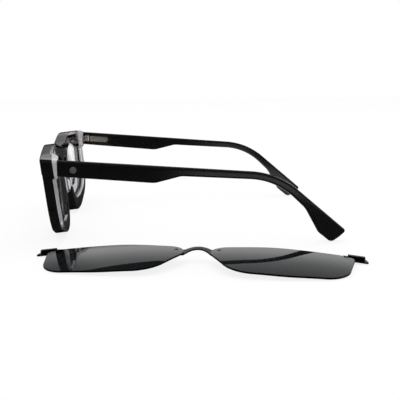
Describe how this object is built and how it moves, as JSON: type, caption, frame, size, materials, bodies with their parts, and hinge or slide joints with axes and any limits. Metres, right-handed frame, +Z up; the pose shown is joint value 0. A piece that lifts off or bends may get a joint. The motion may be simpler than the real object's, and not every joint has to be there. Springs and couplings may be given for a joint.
{
  "type": "clip-on eyeglasses",
  "caption": "Laminated acetate eyeglasses with spring-hinged folding temples, standing open, and a magnetic polarised sun clip lying beside them.",
  "frame": {"origin": "on the surface that the open frame stands on, midway between the temples, in the plane where the temples meet the front", "axes": "+X to the wearer's left, +Y back along the temples, +Z up"},
  "size_m": [0.1981, 0.1427, 0.0439],
  "materials": {
    "black_acetate": "tumbled and hand-polished black cellulose acetate",
    "crystal_acetate": "polished clear cellulose acetate sheet, laminated behind the black",
    "clear_lens": "hard-coated, anti-reflective",
    "sun_lens": "polished grey polarised sheet lens",
    "gunmetal": "dark gunmetal plating, satin",
    "champagne_metal": "champagne-coloured plated nickel silver",
    "bright_steel": "bright machined steel",
    "spring_steel": "drawn spring wire",
    "core_wire": "rolled nickel-silver wire",
    "magnet": "nickel-plated neodymium magnet"
  },
  "bodies": {
    "front": {"front_dark_layer": "black_acetate", "front_clear_layer": "crystal_acetate", "lens_left": "clear_lens", "lens_right": "clear_lens", "nose_pad_left": "crystal_acetate", "nose_pad_right": "crystal_acetate", "dock_magnet_left": "magnet", "dock_magnet_right": "magnet", "hinge_leaf_left": "champagne_metal", "hinge_leaf_right": "champagne_metal", "hinge_screw_left": "bright_steel", "hinge_screw_right": "bright_steel"},
    "clip": {"sun_lens_left": "sun_lens", "sun_lens_right": "sun_lens", "clip_bridge": "gunmetal", "clip_tab_left": "gunmetal", "clip_tab_right": "gunmetal", "clip_bar_left": "gunmetal", "clip_bar_right": "gunmetal", "clip_magnet_left": "magnet", "clip_magnet_right": "magnet", "tab_rivet_left": "gunmetal", "tab_rivet_right": "gunmetal", "bridge_rivet_left": "gunmetal", "bridge_rivet_right": "gunmetal"},
    "slider_left": {"hinge_slider_left": "bright_steel", "slider_nut_left": "bright_steel"},
    "temple_left": {"temple_left": "black_acetate", "temple_core_left": "core_wire", "temple_stud_left": "bright_steel", "spring_housing_left": "champagne_metal", "flex_spring_left": "spring_steel"},
    "slider_right": {"hinge_slider_right": "bright_steel", "slider_nut_right": "bright_steel"},
    "temple_right": {"temple_right": "black_acetate", "temple_core_right": "core_wire", "temple_stud_right": "bright_steel", "spring_housing_right": "champagne_metal", "flex_spring_right": "spring_steel"}
  },
  "joints": [
    {"name": "temple_fold_left", "type": "hinge", "parent": "front", "child": "slider_left", "pos_m": [0.06335, 0.0026, 0.03672], "axis": [-0.0025, 0.0762, 0.9971], "range_deg": [0, 88.4]},
    {"name": "temple_fold_right", "type": "hinge", "parent": "front", "child": "slider_right", "pos_m": [-0.06335, 0.0026, 0.03672], "axis": [-0.0025, -0.0762, -0.9971], "range_deg": [0, 78]},
    {"name": "temple_flex_left", "type": "slide", "parent": "slider_left", "child": "temple_left", "axis": [-0.0331, 0.9965, -0.0762], "range_m": [0, 0.0012], "stiffness_N_per_m": 1500, "springref_m": -0.002, "deforming": ["flex_spring_left"]},
    {"name": "temple_flex_right", "type": "slide", "parent": "slider_right", "child": "temple_right", "axis": [0.0331, 0.9965, -0.0762], "range_m": [0, 0.0012], "stiffness_N_per_m": 1500, "springref_m": -0.002, "deforming": ["flex_spring_right"]},
    {"name": "clip_lift", "type": "slide", "parent": "front", "child": "clip", "axis": [0, 0, 1], "range_m": [0, 0.06]}
  ]
}
